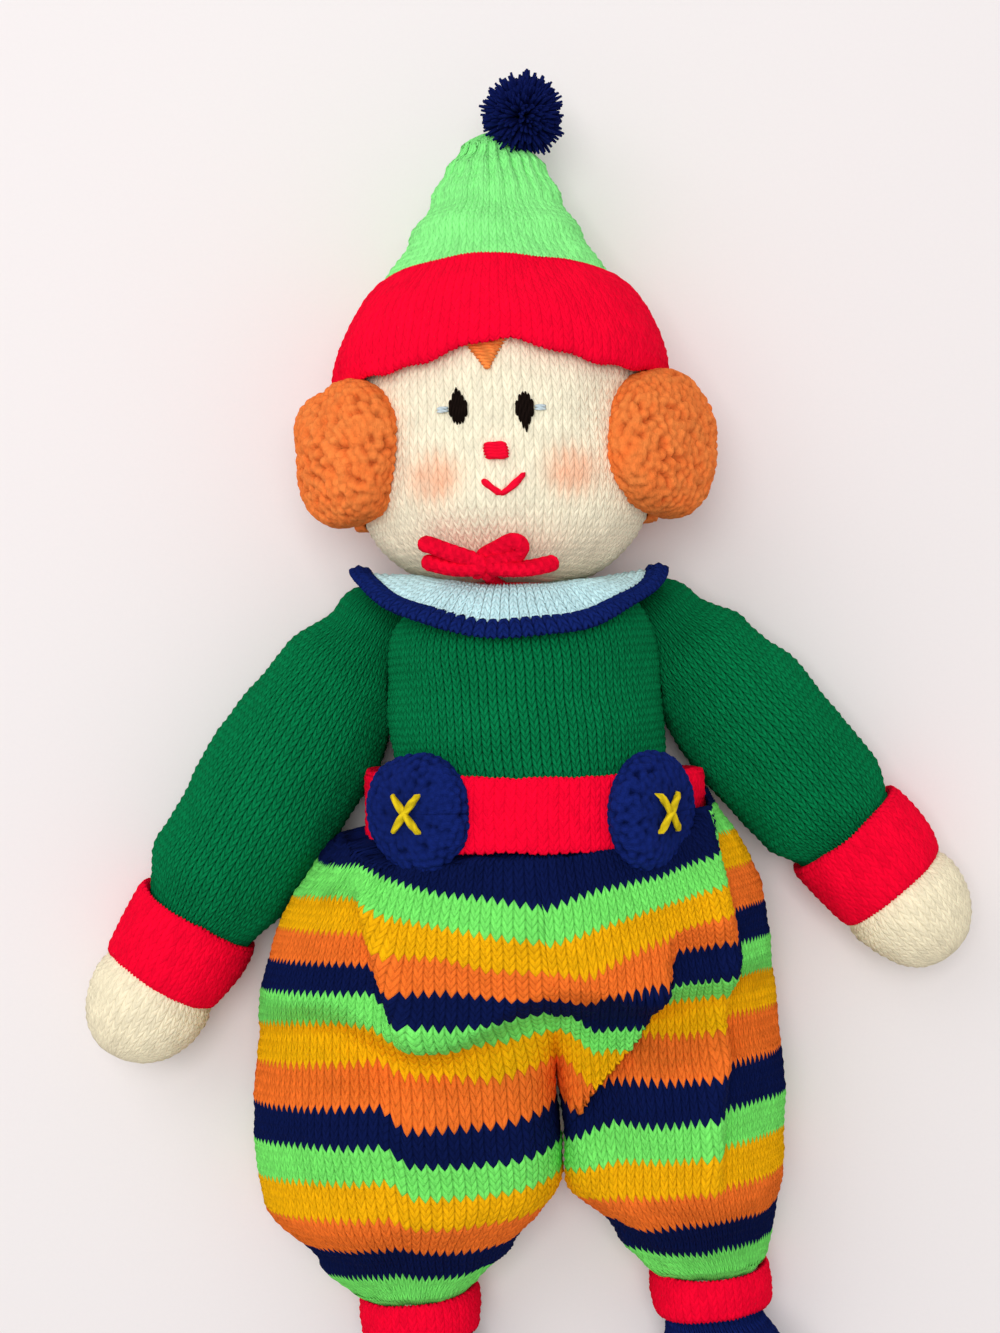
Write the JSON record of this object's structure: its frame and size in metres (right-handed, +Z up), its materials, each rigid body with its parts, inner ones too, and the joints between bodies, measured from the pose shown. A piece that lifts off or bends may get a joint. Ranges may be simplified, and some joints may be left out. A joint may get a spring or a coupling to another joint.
{
  "type": "knitted clown doll",
  "caption": "Soft knitted clown doll lying on its back, with stuffed head, arms and legs that turn at the seams, a pointed hat with a pompom, a ruff collar and baggy striped trousers.",
  "frame": {"origin": "on the floor under the chest, on the flat of the doll's back", "axes": "+Z up from the floor that the doll lies on, +Y towards the hat, +X towards the doll's left arm"},
  "size_m": [0.2617, 0.3989, 0.0818],
  "materials": {
    "green_knit": "matte stocking stitch in dark green yarn",
    "cream_knit": "matte stocking stitch in cream yarn",
    "light_green_knit": "matte stocking stitch in light green yarn",
    "red_knit": "matte knit in bright red yarn",
    "orange_knit": "matte nubbly moss stitch in orange yarn",
    "striped_knit": "matte stocking stitch in navy, light green, amber and orange stripes",
    "light_blue_knit": "matte stocking stitch in light blue yarn",
    "navy_knit": "matte knit in navy yarn",
    "navy_yarn": "cut yarn ends in navy",
    "black_yarn": "satin stitch in black yarn",
    "light_blue_yarn": "straight stitches in light blue yarn",
    "red_yarn": "straight stitches in red yarn",
    "orange_yarn": "straight stitches in orange yarn",
    "yellow_yarn": "cross stitch in yellow yarn",
    "red_cord": "crocheted chain cord in red yarn",
    "fibre_fill": "loose white polyester fibre"
  },
  "bodies": {
    "torso": {"torso_cover": "green_knit", "torso_stuffing": "fibre_fill", "collar": "light_blue_knit", "collar_edging": "navy_knit", "neck_bow": "red_cord", "waistband": "red_knit", "trousers_seat_right": "striped_knit", "trousers_seat_left": "striped_knit", "button_right": "navy_knit", "button_cross_right": "yellow_yarn", "button_left": "navy_knit", "button_cross_left": "yellow_yarn"},
    "head": {"head_cover": "cream_knit", "head_stuffing": "fibre_fill", "hat_crown": "light_green_knit", "hat_brim": "red_knit", "hair_puff_right": "orange_knit", "hair_puff_left": "orange_knit", "hair_back": "orange_knit", "eye_right": "black_yarn", "eye_left": "black_yarn", "eye_stitch_right": "light_blue_yarn", "eye_stitch_left": "light_blue_yarn", "nose": "red_yarn", "mouth": "red_yarn", "forelock": "orange_yarn"},
    "pompom": {"pompom": "navy_yarn"},
    "arm_right": {"sleeve_right": "green_knit", "hand_right": "cream_knit", "arm_stuffing_right": "fibre_fill", "cuff_right": "red_knit"},
    "arm_left": {"sleeve_left": "green_knit", "hand_left": "cream_knit", "arm_stuffing_left": "fibre_fill", "cuff_left": "red_knit"},
    "leg_right": {"trouser_leg_right": "striped_knit", "leg_right": "cream_knit", "leg_stuffing_right": "fibre_fill", "boot_right": "navy_knit", "boot_stuffing_right": "fibre_fill", "ankle_band_right": "red_knit"},
    "leg_left": {"trouser_leg_left": "striped_knit", "leg_left": "cream_knit", "leg_stuffing_left": "fibre_fill", "boot_left": "navy_knit", "boot_stuffing_left": "fibre_fill", "ankle_band_left": "red_knit"}
  },
  "joints": [
    {"name": "head_turn", "type": "hinge", "parent": "torso", "child": "head", "pos_m": [-0.00247, 0.03269, 0.04105], "axis": [-0.0349, 0.9994, 0], "range_deg": [-35, 35]},
    {"name": "pompom_swing", "type": "hinge", "parent": "head", "child": "pompom", "pos_m": [-0.00718, 0.16756, 0.02805], "axis": [0, 0, 1], "range_deg": [0, 40]},
    {"name": "shoulder_right", "type": "hinge", "parent": "torso", "child": "arm_right", "pos_m": [-0.04276, 0.02114, 0.023], "axis": [0, 0, -1], "range_deg": [0, 60]},
    {"name": "shoulder_left", "type": "hinge", "parent": "torso", "child": "arm_left", "pos_m": [0.04393, 0.0227, 0.023], "axis": [0, 0, 1], "range_deg": [0, 45]},
    {"name": "hip_right", "type": "hinge", "parent": "torso", "child": "leg_right", "pos_m": [0.01061, -0.09265, 0.05], "axis": [-0.9962, -0.0872, 0], "range_deg": [0, 75]},
    {"name": "hip_left", "type": "hinge", "parent": "torso", "child": "leg_left", "pos_m": [0.01061, -0.09265, 0.05], "axis": [-0.9962, -0.0872, 0], "range_deg": [0, 75]}
  ]
}
